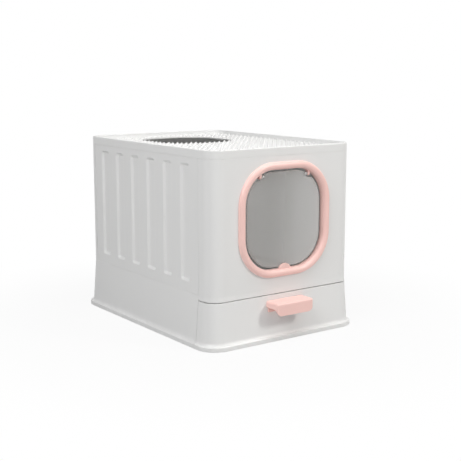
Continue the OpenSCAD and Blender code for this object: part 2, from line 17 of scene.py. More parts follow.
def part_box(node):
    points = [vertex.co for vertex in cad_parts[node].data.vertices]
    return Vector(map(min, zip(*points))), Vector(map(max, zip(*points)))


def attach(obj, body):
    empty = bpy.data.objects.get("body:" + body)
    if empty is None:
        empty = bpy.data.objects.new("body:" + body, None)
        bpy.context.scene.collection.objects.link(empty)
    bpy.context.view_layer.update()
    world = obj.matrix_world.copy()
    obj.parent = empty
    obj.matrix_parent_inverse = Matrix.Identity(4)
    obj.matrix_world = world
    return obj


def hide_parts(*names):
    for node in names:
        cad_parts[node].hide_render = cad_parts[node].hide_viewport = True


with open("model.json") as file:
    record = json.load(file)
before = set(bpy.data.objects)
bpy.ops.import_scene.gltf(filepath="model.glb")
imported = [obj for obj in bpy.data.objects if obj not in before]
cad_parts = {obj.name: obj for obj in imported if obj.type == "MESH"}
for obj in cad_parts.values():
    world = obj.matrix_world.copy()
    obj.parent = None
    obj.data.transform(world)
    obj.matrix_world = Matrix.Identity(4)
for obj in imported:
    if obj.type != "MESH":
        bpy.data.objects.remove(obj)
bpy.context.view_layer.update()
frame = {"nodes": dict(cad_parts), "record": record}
print("nodes:", len(frame["nodes"]))

# %% [markdown]
# ## Sizes
# The CAD pieces already stand at their real size, so the main sizes are read from their boxes. What a box
# can't say, such as a radius or a wall, is named once in millimetres, here or in the first cell that uses it.

# %% Sizes
MM = 0.001

lid_low, lid_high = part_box("lid_frame")
base_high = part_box("base_frame")[1]
side_low, side_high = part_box("right_panel")
fascia_low, fascia_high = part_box("drawer_front")
plate_low, plate_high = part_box("lid_grid")
pan_low, pan_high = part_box("litter_tray")
ring_low, ring_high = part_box("door_ring")
flap_low, flap_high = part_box("flap")
handle_low, handle_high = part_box("drawer_handle")

half_w = lid_high.x
half_d = (lid_high.y - lid_low.y) / 2
mid_y = (lid_high.y + lid_low.y) / 2
front_y = lid_low.y
top_z = lid_high.z
corner_r = 29 * MM
wall = 3 * MM

flare_top = side_low.z
flare_foot = 18 * MM
flare_out = 6.2 * MM
flange_out = base_high.x - half_w
flange_h = 10 * MM
foot_z = fascia_low.z
seam_y = side_low.y
rear_seam_y = side_high.y
seam_gap = 0.6 * MM
joint_gap = 0.4 * MM
slack = 0.1 * MM
lap_t = 2.2 * MM
print(f"body {2 * half_w / MM:.0f} x {2 * half_d / MM:.0f} x {top_z / MM:.0f} mm")
print(f"middle of the body at y {mid_y / MM:.2f} mm")

# %% [markdown]
# ## Camera and light
# The camera stands to the left of the door, a little above the lid, with a long lens. It is made first, so
# that every later piece can be judged from it. The light is a plain studio: a small key at the front right
# for crisp highlights, a broad fill on the left, a broader lamp overhead, and a dim even world.

# %% Camera
def add_object(name, data):
    """A new object in the scene."""
    made = bpy.data.objects.new(name, data)
    bpy.context.scene.collection.objects.link(made)
    return made


CAMERA_AT = Vector((-1135.3, -1634.7, 529.4)) * MM + Vector((0, mid_y, 0))
CAMERA_YAW = 35.754
CAMERA_PITCH = 9.893
FOCAL_PX = 935.5
FRAME_PX = 461
SENSOR_MM = 36

camera_data = bpy.data.cameras.new("camera")
camera_data.sensor_width = SENSOR_MM
camera_data.lens = FOCAL_PX * SENSOR_MM / FRAME_PX
camera = add_object("camera", camera_data)
camera.location = CAMERA_AT
camera.rotation_euler = (math.radians(90 - CAMERA_PITCH), 0, math.radians(-CAMERA_YAW))
bpy.context.scene.camera = camera
print(f"lens {camera_data.lens:.1f} mm")


# %% Lamps
LAMPS_AIM_AT = Vector((0, 0, 0.2))


def softbox(name, place, size, watts, colour=(1, 1, 1)):
    """A square lamp at place, turned to the middle of the box."""
    data = bpy.data.lights.new(name, "AREA")
    data.shape = "SQUARE"
    data.size = size
    data.energy = watts
    data.color = colour
    lamp = add_object(name, data)
    lamp.location = place
    lamp.rotation_euler = (LAMPS_AIM_AT - Vector(place)).to_track_quat("-Z", "Y").to_euler()
    print(f"{name} lamp: {watts} W, {size} m wide")


softbox("key", place=(1.2, -2.0, 1.6), size=0.5, watts=24.5, colour=(1, 0.985, 0.95))
softbox("fill", place=(-1.7, -0.8, 1.7), size=1.3, watts=26)
softbox("overhead", place=(0.1, -0.45, 2.4), size=1.8, watts=28)


# %% [markdown]
# ## Writing shaders as sums
# A material is a graph of nodes. Wiring maths nodes one by one hides what they work out, so a small class
# wraps a socket and lets `+`, `-` and `*` add the nodes. Any other node comes from `Graph.node`.

# %% Shader helpers
class Value:
    """A node's output that can stand in a sum."""

    def __init__(self, graph, socket):
        self.graph = graph
        self.socket = socket

    def _math(self, operation, first, second):
        return self.graph.node("ShaderNodeMath", {"operation": operation}, {0: first, 1: second})

    def __add__(self, other):
        return self._math("ADD", self, other)

    def __mul__(self, other):
        return self._math("MULTIPLY", self, other)

    def __sub__(self, other):
        return self._math("SUBTRACT", self, other)

    def __rsub__(self, other):
        return self._math("SUBTRACT", other, self)

    __radd__ = __add__
    __rmul__ = __mul__


class Graph:
    """The node tree of a material or world."""

    def __init__(self, owner):
        owner.use_nodes = True
        self.tree = owner.node_tree
        self.tree.nodes.clear()

    def node(self, kind, settings=None, inputs=None, output=0):
        """Adds a node, sets it, fills its sockets with numbers or Values, and returns an output."""
        made = self.tree.nodes.new(kind)
        for name, value in (settings or {}).items():
            if name == "stops":
                self._ramp(made.color_ramp, value)
            else:
                setattr(made, name, value)
        for socket, value in (inputs or {}).items():
            if isinstance(value, Value):
                self.tree.links.new(value.socket, made.inputs[socket])
            else:
                made.inputs[socket].default_value = value
        return Value(self, made.outputs[output]) if made.outputs else None

    def _ramp(self, ramp, stops):
        while len(ramp.elements) < len(stops):
            ramp.elements.new(1)
        for element, (place, colour) in zip(ramp.elements, stops):
            element.position = place
            element.color = colour

    def noise(self, scale, detail=3):
        """Noise on the piece's own coordinates, in features per metre."""
        place = self.node("ShaderNodeTexCoord", output="Object")
        return self.node("ShaderNodeTexNoise", None, {"Vector": place, "Scale": scale, "Detail": detail})

    def tint(self, factor, first, second):
        """A colour between two, by a Value from 0 to 1."""
        return self.node("ShaderNodeValToRGB", {"stops": [(0, first), (1, second)]}, {0: factor})

    def bump(self, height, distance, strength):
        """A normal that follows a height."""
        inputs = {"Height": height, "Distance": distance, "Strength": strength}
        return self.node("ShaderNodeBump", None, inputs)

    def surface(self, shader):
        """Ends a material with a shader."""
        self.node("ShaderNodeOutputMaterial", None, {"Surface": shader})

    def finish(self, inputs):
        """Ends a material with a Principled shader that has these inputs."""
        self.surface(self.node("ShaderNodeBsdfPrincipled", None, inputs))


def material(name):
    """A new material and its empty graph."""
    made = bpy.data.materials.new(name)
    return made, Graph(made)


# %% [markdown]
# ## World and floor
# The surroundings are plain white. Only rays from the camera, and rays that see it in gloss or through the
# flap, get full white; all other rays get the dim level that lights the object evenly. The floor does the
# same and keeps a share of real shading, so the box still throws its soft shadow.

# %% World and floor
WHITE = (1, 1, 1, 1)
AMBIENT = 0.09
FLOOR_GREY = (0.68, 0.68, 0.68, 1)
FLOOR_REACH = 12
FLOOR_SHADE = 0.08
SHADE_STARTS = 0.3
SHADE_FADES = 0.75


def white_rays(graph):
    """1 for camera, glossy and transmission rays."""
    path = graph.tree.nodes.new("ShaderNodeLightPath")
    seen = Value(graph, path.outputs["Is Camera Ray"])
    for name in ("Is Glossy Ray", "Is Transmission Ray"):
        also = Value(graph, path.outputs[name])
        seen = graph.node("ShaderNodeMath", {"operation": "MAXIMUM"}, {0: seen, 1: also})
    return seen


world = bpy.data.worlds.new("studio")
bpy.context.scene.world = world
graph = Graph(world)
plain = graph.node("ShaderNodeBackground", None, {"Color": WHITE, "Strength": AMBIENT})
white = graph.node("ShaderNodeBackground", None, {"Color": WHITE, "Strength": 1})
mixed = graph.node("ShaderNodeMixShader", None, {0: white_rays(graph), 1: plain, 2: white})
graph.node("ShaderNodeOutputWorld", None, {"Surface": mixed})

floor_material, graph = material("pale_floor")
matt = graph.node("ShaderNodeBsdfDiffuse", None, {"Color": FLOOR_GREY})
glow = graph.node("ShaderNodeEmission", None, {"Color": WHITE, "Strength": 1})
place = graph.node("ShaderNodeTexCoord", output="Object")
away = graph.node("ShaderNodeVectorMath", {"operation": "LENGTH"}, {0: place}, "Value")
near = graph.node("ShaderNodeMapRange", {"interpolation_type": "SMOOTHSTEP"}, {
    "Value": away, "From Min": SHADE_STARTS, "From Max": SHADE_FADES, "To Min": FLOOR_SHADE, "To Max": 0.0})
lit = white_rays(graph) * (1 - near)
graph.surface(graph.node("ShaderNodeMixShader", None, {0: lit, 1: matt, 2: glow}))

floor_mesh = bpy.data.meshes.new("floor")
floor_corners = [(x * FLOOR_REACH, y * FLOOR_REACH, 0) for x, y in ((-1, -1), (1, -1), (1, 1), (-1, 1))]
floor_mesh.from_pydata(floor_corners, [], [(0, 1, 2, 3)])
floor_mesh.materials.append(floor_material)
floor = add_object("floor", floor_mesh)

view = bpy.context.scene.view_settings
view.view_transform = "Standard"
print(f"floor {2 * FLOOR_REACH} m wide, world at {AMBIENT}")


# %% [markdown]
# ## Finishes
# The shell is satin white plastic. A mould's steel is never perfectly even, so its gloss wanders a little
# and its skin has a fine grain that only shows where light grazes it. The trim is the same plastic in pale
# pink. Both are one function with different colours.

# %% Moulded plastic
GLOSS_SPREAD = 0.1
GRAIN_DEPTH = 0.1 * MM


def moulded_plastic(name, colour, shade, roughness, grain=0.035):
    """Satin plastic: a faint drift of colour, a wandering gloss and a fine moulded grain."""
    made, graph = material(name)
    drift = graph.noise(scale=7)
    cloud = graph.noise(scale=45, detail=4)
    skin_grain = graph.noise(scale=2600, detail=2)
    dark = (*(c * shade for c in colour), 1)
    graph.finish({
        "Base Color": graph.tint(drift, dark, (*colour, 1)),
        "Roughness": cloud * GLOSS_SPREAD + (roughness - GLOSS_SPREAD / 2),
        "Normal": graph.bump(skin_grain, GRAIN_DEPTH, grain),
    })
    return made


def slot_colour(slot):
    """A slot's base colour from the record."""
    return next(m["base_color"] for m in frame["record"]["materials"] if m["slot"] == slot)[:3]


white_plastic = moulded_plastic("satin_white_plastic", (0.835, 0.835, 0.83), shade=0.985, roughness=0.36)
pink_plastic = moulded_plastic("satin_pink_plastic", (0.98, 0.65, 0.6), shade=0.97, roughness=0.3)
grey_plastic = moulded_plastic(
    "pale_grey_plastic", slot_colour("grey_inner"), shade=0.97, roughness=0.45, grain=0.06)

# %% [markdown]
# The flap is a clear sheet, a little milky all over. Towards its right edge it is painted lighter and more
# opaque, which is painted light. Light goes mostly straight through, and it reflects more at a glancing
# angle, which Layer Weight gives. Fine wiping marks show in its gloss. The zinc on the steel has a fine
# spangle, and the rubber carries a little dust: both are noise that moves colour and roughness together.

# %% Flap, steel and rubber
SHEET_ALPHA = 0.28
PAINTED_LIGHT_ADDS = 0.09
GLANCE_ADDS = 0.3


def clear_sheet(name):
    """Clear plastic with painted light: lighter and more opaque along X."""
    made, graph = material(name)
    glance = graph.node("ShaderNodeLayerWeight", None, {"Blend": 0.35}, "Fresnel")
    wiped = graph.noise(scale=60, detail=5)
    place = graph.node("ShaderNodeTexCoord", output="Object")
    across = graph.node("ShaderNodeSeparateXYZ", None, {0: place}, "X")
    # Painted light: the sheet gets lighter and more opaque towards its right edge.
    painted_light_right = graph.node("ShaderNodeMapRange", {"interpolation_type": "SMOOTHSTEP"}, {
        "Value": across, "From Min": flap_low.x / 2, "From Max": flap_high.x})
    graph.finish({
        "Base Color": graph.tint(painted_light_right, (0.74, 0.735, 0.72, 1), (0.84, 0.84, 0.835, 1)),
        "Roughness": wiped * 0.12 + 0.16,
        "Alpha": glance * GLANCE_ADDS + painted_light_right * PAINTED_LIGHT_ADDS + SHEET_ALPHA,
    })
    return made


def lit_edge(name):
    """The cut edge of a clear sheet, with a painted glow: a whiter colour and emission for light that travels
    in the sheet and comes out there.
    """
    made, graph = material(name)
    sawn = graph.noise(scale=300)
    graph.finish({
        "Base Color": graph.tint(sawn, (0.88, 0.89, 0.89, 1), (0.95, 0.96, 0.96, 1)),
        "Roughness": sawn * 0.2 + 0.35,
        # Painted glow: the edge emits light, though it is no lamp.
        "Emission Color": WHITE,
        "Emission Strength": 0.35,
    })
    return made


def zinc_steel(name):
    """Zinc-plated steel."""
    made, graph = material(name)
    spangle = graph.noise(scale=900, detail=4)
    graph.finish({
        "Base Color": graph.tint(spangle, (0.55, 0.56, 0.58, 1), (*slot_colour("steel_fixings"), 1)),
        "Metallic": 1.0,
        "Roughness": spangle * 0.2 + 0.22,
        "Normal": graph.bump(spangle, GRAIN_DEPTH, 0.1),
    })
    return made


def soft_rubber(name):
    """Matt rubber with a little dust."""
    made, graph = material(name)
    dust = graph.noise(scale=160, detail=4)
    pores = graph.noise(scale=1500, detail=2)
    graph.finish({
        "Base Color": graph.tint(dust, (*slot_colour("rubber_pads"), 1), (0.3, 0.3, 0.295, 1)),
        "Roughness": dust * 0.15 + 0.72,
        "Normal": graph.bump(pores, 2 * GRAIN_DEPTH, 0.2),
    })
    return made


clear_plastic = clear_sheet("clear_milky_sheet")
cut_plastic = lit_edge("painted_glow_cut_edge")
steel = zinc_steel("zinc_steel")
rubber = soft_rubber("soft_rubber")
FINISHES = {
    "white_shell": [white_plastic],
    "pink_trim": [pink_plastic],
    "grey_inner": [grey_plastic],
    "clear_flap": [clear_plastic, cut_plastic],
    "steel_fixings": [steel],
    "rubber_pads": [rubber],
}
for slot, finishes in FINISHES.items():
    print(f"{slot}: {', '.join(finish.name for finish in finishes)}")


def coat(mesh, slot):
    """Gives a mesh the finishes of its slot."""
    mesh.materials.clear()
    for finish in FINISHES[slot]:
        mesh.materials.append(finish)


# %% [markdown]
# ## Mesh helpers
# Nearly every wall of the box is one cross-section that runs round a rectangle with round corners. So the
# shell is made the way a moulder thinks of it: a profile with its small edge radii, and a path that carries
# it. `rounded` puts the radii on a profile, and `sweep` joins its copies along a path.

# %% Profiles and paths
def rounded(corners, steps=4):
    """Turns corners (a, b, radius) into a closed outline, each corner rounded to its radius."""
    points = []
    for i, (a, b, radius) in enumerate(corners):
        here = Vector((a, b))
        if radius == 0:
            points.append(here)
            continue
        before = (Vector(corners[i - 1][:2]) - here).normalized()
        after = (Vector(corners[(i + 1) % len(corners)][:2]) - here).normalized()
        half = before.angle(after) / 2
        centre = here + (before + after).normalized() * (radius / math.sin(half))
        start = here + before * (radius / math.tan(half)) - centre
        end = here + after * (radius / math.tan(half)) - centre
        turn = start.angle(end)
        for k in range(steps + 1):
            t = k / steps
            arc = start * math.sin((1 - t) * turn) + end * math.sin(t * turn)
            points.append(centre + arc / math.sin(turn))
    return points


def smooth(t):
    """An even climb from 0 to 1 that starts and ends level."""
    t = min(max(t, 0), 1)
    return t * t * (3 - 2 * t)


def corner_rows(cx, cy, r, start, steps=14):
    """Rows (x, y, normal x, normal y) round a quarter circle that starts at an angle in degrees."""
    turns = [math.radians(start + 90 * k / steps) for k in range(steps + 1)]
    return [(cx + r * math.cos(a), cy + r * math.sin(a), math.cos(a), math.sin(a)) for a in turns]


def round_path(half_a, half_b, r, cx=0, cy=0, steps=14):
    """Rows all the way round a rectangle with round corners, anticlockwise."""
    rows = []
    for sx, sy, start in ((1, -1, -90), (1, 1, 0), (-1, 1, 90), (-1, -1, 180)):
        rows += corner_rows(cx + sx * (half_a - r), cy + sy * (half_b - r), r, start, steps)
    return rows


def body_path():
    """The body's whole outline."""
    return round_path(half_w, half_d, corner_r, 0, mid_y)


def rear_path(y):
    """The body's outline round the rear, from y on the right side to y on the left."""
    x, back = half_w - corner_r, mid_y + half_d - corner_r
    turns = corner_rows(x, back, corner_r, 0) + corner_rows(-x, back, corner_r, 90)
    return [(half_w, y, 1, 0)] + turns + [(-half_w, y, -1, 0)]


def front_path(y):
    """The body's outline round the front, from y on the left side to y on the right."""
    x, ahead = half_w - corner_r, mid_y - half_d + corner_r
    turns = corner_rows(-x, ahead, corner_r, 180) + corner_rows(x, ahead, corner_r, 270)
    return [(-half_w, y, -1, 0)] + turns + [(half_w, y, 1, 0)]


def moved_out(path, distance):
    """A path's points, moved along their normals."""
    return [(x + nx * distance, y + ny * distance) for x, y, nx, ny in path]


def on_body(row, out, up):
    """A profile point on the body: out from the wall's outer face, up from the floor."""
    x, y, nx, ny = row
    return (x + nx * out, y + ny * out, up)


# %% [markdown]
# `build` turns the bmesh into a finished piece: the finish of its slot, smooth shading with true edges left
# sharp, weighted normals so that wide flat faces stay flat, a parent that ties the piece to its body, and
# the CAD nodes it stands for hidden.

# %% Sweeping and finishing
BEVEL_ABOVE = math.radians(30)


def skin(bm, rings, closed_path, closed_profile=True):
    """Joins rings of vertices with quads."""
    last = len(rings) if closed_path else len(rings) - 1
    count = len(rings[0])
    for i in range(last):
        first, second = rings[i], rings[(i + 1) % len(rings)]
        for k in range(count if closed_profile else count - 1):
            j = (k + 1) % count
            bm.faces.new((first[k], second[k], second[j], first[j]))


def sweep(path, profile, place=on_body, closed=True, bm=None):
    """Runs a closed profile along a path, and caps its ends if the path is open."""
    bm = bm or bmesh.new()
    rings = [[bm.verts.new(place(row, *point)) for point in profile] for row in path]
    skin(bm, rings, closed)
    if not closed:
        bm.faces.new(rings[0])
        bm.faces.new(rings[-1])
    return bm


def fill(bm, *loops):
    """Fills the flat area between an outline and its holes, with their own vertices."""
    corners = [v for loop in loops for v in loop]
    for triangle in tessellate_polygon([[v.co for v in loop] for loop in loops]):
        bm.faces.new([corners[i] for i in triangle])


def prism(outline, place, low, high, edge=0.0, bm=None, holes=()):
    """An outline given thickness, with its rims rounded by edge. place takes (a, b, height)."""
    part = bmesh.new()
    loops = []
    for points in (outline, *holes):
        ends = [[part.verts.new(place(a, b, h)) for a, b in points] for h in (low, high)]
        skin(part, ends, False)
        loops.append(ends)
    for end in (0, 1):
        if holes:
            fill(part, *(ends[end] for ends in loops))
        else:
            part.faces.new(loops[0][end])
    bmesh.ops.recalc_face_normals(part, faces=part.faces)
    if edge:
        sharp = [e for e in part.edges if e.calc_face_angle(0) > BEVEL_ABOVE]
        bmesh.ops.bevel(
            part, geom=sharp, offset=edge, segments=2, profile=0.5, affect="EDGES", clamp_overlap=True)
    return merged(bm, part)


def as_mesh(bm, name):
    """Writes a bmesh to a new mesh, and frees it."""
    mesh = bpy.data.meshes.new(name)
    bm.to_mesh(mesh)
    bm.free()
    return mesh


def merged(bm, part):
    """Adds a finished part to a mesh, or starts one with it."""
    if bm is None:
        return part
    mesh = as_mesh(part, "part")
    bm.from_mesh(mesh)
    bpy.data.meshes.remove(mesh)
    return bm


def finish_piece(mesh, name, body, slot, stands_for=(), angle=32):
    """Makes a mesh a finished piece of the object."""
    coat(mesh, slot)
    mesh.shade_smooth()
    mesh.set_sharp_from_angle(angle=math.radians(angle))
    piece = add_object(name, mesh)
    weighted = piece.modifiers.new("flat_faces_stay_flat", "WEIGHTED_NORMAL")
    weighted.weight = 90
    weighted.keep_sharp = True
    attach(piece, body)
    if stands_for:
        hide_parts(*stands_for)
    print(f"{name}: {len(mesh.polygons)} faces")


def build(bm, name, body, slot, stands_for=(), angle=32):
    """Turns a bmesh into a finished piece."""
    bmesh.ops.recalc_face_normals(bm, faces=bm.faces)
    finish_piece(as_mesh(bm, name), name, body, slot, stands_for, angle)


# %% [markdown]
# ## Lid rim
# The lid's frame is one ring: a skirt that meets the walls, a thin rim round the top, a ledge inside that
# carries the plate, and a tongue that drops inside the walls. One profile holds all four, so one sweep
# round the body's outline makes it, edge radii included.

# %% Lid rim
wall_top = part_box("front_panel")[1].z
skirt_z = wall_top + 0.15 * MM
plate_z = plate_low.z - slack
plate_t = 2.4 * MM
tongue_z = lid_low.z
tongue = -wall - 0.5 * MM
tongue_back = tongue - lap_t
ledge = -wall - 9 * MM

lid_profile = rounded([
    (0, skirt_z, 0.25 * MM),
    (0, top_z, 2.2 * MM),
    (-wall, top_z, 0.7 * MM),
    (-wall, plate_z, 0),
    (ledge, plate_z, 0.4 * MM),
    (ledge, plate_z - plate_t, 0.4 * MM),
    (tongue_back, plate_z - plate_t, 0.6 * MM),
    (tongue_back, tongue_z, 0.5 * MM),
    (tongue, tongue_z, 0.5 * MM),
    (tongue, skirt_z, 0.3 * MM),
])
build(sweep(body_path(), lid_profile), "lid_rim", "lid", "white_shell", ["lid_frame"])

# %% [markdown]
# ## Front wall
# The front wall is a sheet that wraps round both front corners. Its lower edge follows the flare for its
# last centimetre and turns in to a sill. The doorway is cut with a Boolean, because it goes through a flat
# face and the ring covers its edge. Behind each side joint a strip with three windows laps the side wall.


# %% Boolean
def as_object(bm):
    """A bmesh as a plain object, for a modifier to work on."""
    bmesh.ops.recalc_face_normals(bm, faces=bm.faces)
    return add_object("cut", as_mesh(bm, "cut"))


def applied(made):
    """The mesh of an object with its modifiers applied."""
    evaluated = made.evaluated_get(bpy.context.evaluated_depsgraph_get())
    return bpy.data.meshes.new_from_object(evaluated)


def cut_away(bm, other):
    """One closed mesh less another, by an exact Boolean."""
    first, second = as_object(bm), as_object(other)
    modifier = first.modifiers.new("boolean", "BOOLEAN")
    modifier.operation = "DIFFERENCE"
    modifier.object = second
    modifier.solver = "EXACT"
    result = bmesh.new()
    mesh = applied(first)
    result.from_mesh(mesh)
    for made in (first, second):
        bpy.data.objects.remove(made)
    bpy.data.meshes.remove(mesh)
    return result


# %% Flare and doorway
def outset(z):
    """How far the flared wall stands out at height z."""
    return flare_out * max(flare_top - z, 0) / (flare_top - flare_foot)


bead_w = 15 * MM
bead_out = 7.4 * MM
sleeve_t = 2.4 * MM
door_r = 67 * MM
door_z = (ring_low.z + ring_high.z) / 2
door_half_w = ring_high.x - bead_w
door_half_h = (ring_high.z - ring_low.z) / 2 - bead_w


def on_door(row, out, ahead):
    """A profile point on the doorway: out from the opening's edge, ahead of the wall."""
    x, z, nx, nz = row
    return (x + nx * out, front_y - ahead, z + nz * out)


def door_path(steps=18):
    """The edge of the door ring's opening."""
    return round_path(door_half_w, door_half_h, door_r, 0, door_z, steps)


print(f"doorway {2 * door_half_w / MM:.0f} x {2 * door_half_h / MM:.0f} mm")


# %% Lap strips
lap_out = -wall - joint_gap
lap_back = lap_out - lap_t
lap_low = flare_top + 7 * MM
lap_high = tongue_z - 3 * MM
lap_reach = 12 * MM
lug_w = 5.4 * MM
lug_h = 12 * MM
lug_heights = [lap_low + (lap_high - lap_low) * share for share in (1 / 6, 3 / 6, 5 / 6)]


def rectangle(a0, b0, a1, b1):
    """Corners of a rectangle, from its low corner to its high one."""
    return [(a0, b0), (a1, b0), (a1, b1), (a0, b1)]


def lap_strips(bm, joint_y, ahead):
    """Windowed strips behind both side joints. ahead is 1 if they point towards +Y, or -1."""
    middle_y = joint_y + ahead * lap_reach / 2
    root_y = joint_y - ahead * lap_reach / 2
    hole_w, hole_h = lug_w / 2 + slack, lug_h / 2 + slack
    holes = [rectangle(middle_y - hole_w, z - hole_h, middle_y + hole_w, z + hole_h) for z in lug_heights]
    ends = sorted((root_y, joint_y + ahead * lap_reach))
    roots = sorted((root_y, joint_y - ahead * seam_gap))
    for side in (-1, 1):
        def place(y, z, out):
            return (side * (half_w + out), y, z)

        prism(rectangle(ends[0], lap_low, ends[1], lap_high), place, lap_back, lap_out, 0, bm, holes)
        prism(rectangle(roots[0], lap_low, roots[1], lap_high), place, lap_out - slack, slack - wall, 0, bm)


print(f"lugs at {', '.join(f'{z / MM:.0f}' for z in lug_heights)} mm")


# %% Front wall
sill_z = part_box("front_panel")[0].z
sill_in = -wall - 11 * MM
front_profile = rounded([
    (outset(sill_z), sill_z, 0.7 * MM),
    (0, flare_top, 8 * MM),
    (0, wall_top, 0.25 * MM),
    (-wall, wall_top, 0.5 * MM),
    (-wall, sill_z + wall, 0.8 * MM),
    (sill_in, sill_z + wall, 0.6 * MM),
    (sill_in, sill_z, 0.6 * MM),
])
room = sleeve_t + 0.5 * MM
cut_out = moved_out(door_path(), room)
opening = prism(cut_out, lambda x, z, ahead: (x, front_y - ahead, z), -2 * wall, 2 * wall)
front_wall = sweep(front_path(seam_y - seam_gap), front_profile, closed=False)
front_wall = cut_away(front_wall, opening)
lap_strips(front_wall, seam_y - joint_gap, 1)
build(front_wall, "front_wall", "housing", "white_shell", ["front_panel"])

# %% [markdown]
# ## Rear wall
# The rear wall is the same sheet round the rear corners, down to the base's tongue, so it is swept in the
# same way. Its strips point forwards, and it has no doorway and no flare.

# %% Rear wall
rear_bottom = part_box("rear_panel")[0].z
rear_profile = rounded([
    (0, rear_bottom, 0.5 * MM),
    (0, wall_top, 0.25 * MM),
    (-wall, wall_top, 0.5 * MM),
    (-wall, rear_bottom, 0.5 * MM),
])
rear_wall = sweep(rear_path(rear_seam_y + seam_gap), rear_profile, closed=False)
lap_strips(rear_wall, rear_seam_y + joint_gap, -1)
build(rear_wall, "rear_wall", "housing", "white_shell", ["rear_panel"])

# %% [markdown]
# ## Side walls
# Each side wall is a flat plate with six upright channels pressed into it. A channel is a stack of outlines:
# over the soft upper edge, down the wall with a little draft, and round a small fillet into its floor. The
# same six outlines, one wall thickness wider, make the raised boxes inside. The flat skin between them is
# filled with its holes in one go.

# %% Side walls
channels = 6
channel_w = 31 * MM
channel_r = 6 * MM
channel_depth = 4.8 * MM
channel_low = flare_top + 21 * MM
channel_high = tongue_z - 4 * MM
channel_mid_z = (channel_low + channel_high) / 2
channel_half_h = (channel_high - channel_low) / 2
channel_margin = 30 * MM
face_w = side_high.y - side_low.y
channel_pitch = (face_w - 2 * channel_margin - channel_w) / (channels - 1)
lug_in = 5.6 * MM
slope_out = 1.5 * MM
slope_in = 5.2 * MM
slope_steps = 12
slope = [(slope_out - (slope_out + slope_in) * k / slope_steps, -channel_depth * smooth(k / slope_steps))
         for k in range(slope_steps + 1)]
raised_z = -wall - channel_depth
raised_slope = [(wall + 0.8 * MM, -wall), (wall, -wall - 0.8 * MM),
                (wall - 0.6 * MM, raised_z + MM), (wall - 1.6 * MM, raised_z)]
print(f"{channels} channels, {channel_pitch / MM:.1f} mm apart")


def offset_rings(bm, rows, profile, place):
    """Copies of a closed outline, each moved out and up by the profile, skinned together."""
    rings = [[bm.verts.new(place(a + na * out, b + nb * out, up)) for a, b, na, nb in rows]
             for out, up in profile]
    skin(bm, rings, False)
    return rings


def side_wall(side):
    """A side wall with its channels and lugs. side is -1 on the left, or 1."""
    bm = bmesh.new()

    def place(y, z, out):
        return (side * (half_w + out), y, z)

    middle_y = (side_low.y + side_high.y) / 2
    middle_z = (side_low.z + side_high.z) / 2
    face = round_path(face_w / 2, (side_high.z - side_low.z) / 2, 0.6 * MM, middle_y, middle_z, 2)
    edge = [(-0.5 * MM, 0), (-0.15 * MM, -0.15 * MM), (0, -0.5 * MM)]
    rim = edge + [(out, -wall - up) for out, up in reversed(edge)]
    rims = offset_rings(bm, face, rim, place)
    sunk, raised = [], []
    for k in range(channels):
        y = middle_y + (k - (channels - 1) / 2) * channel_pitch
        rows = round_path(channel_w / 2, channel_half_h, channel_r, y, channel_mid_z, 6)
        outer = offset_rings(bm, rows, slope, place)
        bm.faces.new(outer[-1])
        sunk.append(outer[0])
        inner = offset_rings(bm, rows, raised_slope, place)
        bm.faces.new(inner[-1])
        raised.append(inner[0])
    fill(bm, rims[0], *sunk)
    fill(bm, rims[-1], *raised)
    for y in (side_low.y + lug_in, side_high.y - lug_in):
        for z in lug_heights:
            prism(rectangle(y - lug_w / 2, z - lug_h / 2, y + lug_w / 2, z + lug_h / 2), place,
                  lap_back - 1.2 * MM, slack - wall, 0.6 * MM, bm)
    return bm


for side, name in ((-1, "left"), (1, "right")):
    build(side_wall(side), f"{name}_wall", "housing", "white_shell", [f"{name}_panel"], 40)

# %% [markdown]
# ## Base and drawer fascia
# The flare and the flange at the floor run all the way round: the base carries them at the sides and the
# rear, the drawer's fascia at the front. Both use one profile. From the wall it runs down the flare, out
# through a hollow quarter ellipse, over the flange's rounded rim and down to its foot.


# %% Skirt profile
flange_r = 1.8 * MM
foot_r = 1.2 * MM
floor_z = 8 * MM


def skirt_face(top):
    """Corners (out, up, radius) of the outer face, from the top down, for rounded()."""
    turns = [math.radians(9 * k) for k in range(11)]
    hollow_w = flange_out - flange_r - flare_out
    hollow_h = flare_foot - flange_h
    corners = [(outset(top), top, 0.6 * MM)]
    corners += [(flare_out + hollow_w * (1 - math.cos(t)), flare_foot - hollow_h * math.sin(t), 0)
                for t in turns]
    corners += [(flange_out - flange_r * (1 - math.sin(t)), flange_h - flange_r * (1 - math.cos(t)), 0)
                for t in turns[1::2]]
    corners += [(flange_out, flange_h - flange_r, 0), (flange_out, foot_z, foot_r)]
    return corners


def skirt_back(top):
    """Corners of the inner face, from the foot up."""
    return [
        (flange_out - wall, foot_z, 0.4 * MM),
        (flange_out - wall, foot_z + 2 * MM, 0),
        (flare_out - wall, floor_z, 0),
        (flare_out - wall, flare_foot, 0),
        (outset(top) - wall, top, 0.6 * MM),
    ]


# %% Base
floor_t = 3 * MM
floor_top = floor_z + floor_t
floor_over = 4.7 * MM
floor_short = 3.5 * MM
block_w = 6 * MM
block_h = 45 * MM
tongue_foot = flare_top - 7 * MM
tongue_top = flare_top + 6 * MM
base_seam_y = seam_y - joint_gap
base_profile = rounded(skirt_face(flare_top) + skirt_back(tongue_foot - lap_t)[:-1] + [
    (outset(tongue_foot) - wall, tongue_foot - lap_t, 0),
    (lap_back, tongue_foot, 0),
    (lap_back, tongue_top, 0.5 * MM),
    (lap_out, tongue_top, 0.5 * MM),
    (lap_out, flare_top, 0),
])
base = sweep(rear_path(base_seam_y), base_profile, closed=False)
floor_plan = moved_out(rear_path(base_seam_y), floor_over)
floor_plan += moved_out(front_path(base_seam_y), -floor_short)


def upright(x, y, z):
    """Places an outline drawn in plan."""
    return (x, y, z)


